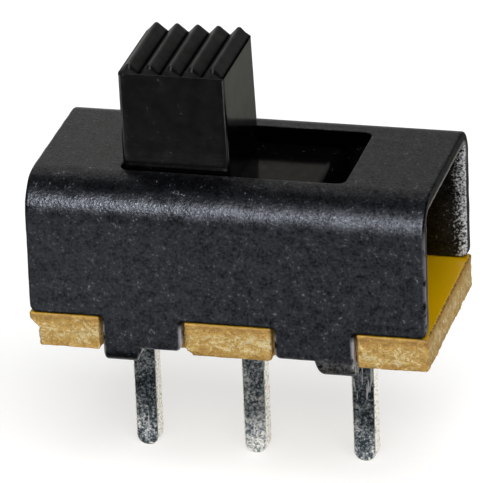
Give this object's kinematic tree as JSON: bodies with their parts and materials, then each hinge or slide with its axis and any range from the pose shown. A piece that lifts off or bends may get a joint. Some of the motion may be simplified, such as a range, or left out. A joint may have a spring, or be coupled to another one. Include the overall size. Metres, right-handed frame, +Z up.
{
  "type": "slide switch",
  "caption": "Miniature slide switch: a ridged sliding knob in a folded steel frame, crimped over a phenolic terminal board with straight in-line circuit board terminals.",
  "frame": {"origin": "centre of the middle terminal in the plane of the terminal board's underside", "axes": "+X along the slider's travel, towards the end it moves to; +Z up out of the knob, away from the circuit board; +Y across the switch"},
  "size_m": [0.0138, 0.0072, 0.0148],
  "materials": {
    "blackened_steel": "black oxide on fine-grained steel sheet, satin, with bare sheared edges",
    "phenolic_paper_board": "glossy golden faces, pale fibrous punched edges",
    "tin_plated_brass": "tin plated, mottled semi-bright",
    "black_nylon": "moulded, satin",
    "phosphor_bronze": "rolled strip, bright",
    "spring_wire": "drawn wire, bright"
  },
  "bodies": {
    "switch_body": {"frame": "blackened_steel", "terminal_board": "phenolic_paper_board", "terminal_left": "tin_plated_brass", "terminal_centre": "tin_plated_brass", "terminal_right": "tin_plated_brass"},
    "slider_body": {"slider": "black_nylon", "bridge_contact": "phosphor_bronze", "contact_spring": "spring_wire"}
  },
  "joints": [
    {"name": "slider_slide", "type": "slide", "parent": "switch_body", "child": "slider_body", "axis": [1, 0, 0], "range_m": [0, 0.00381]}
  ]
}
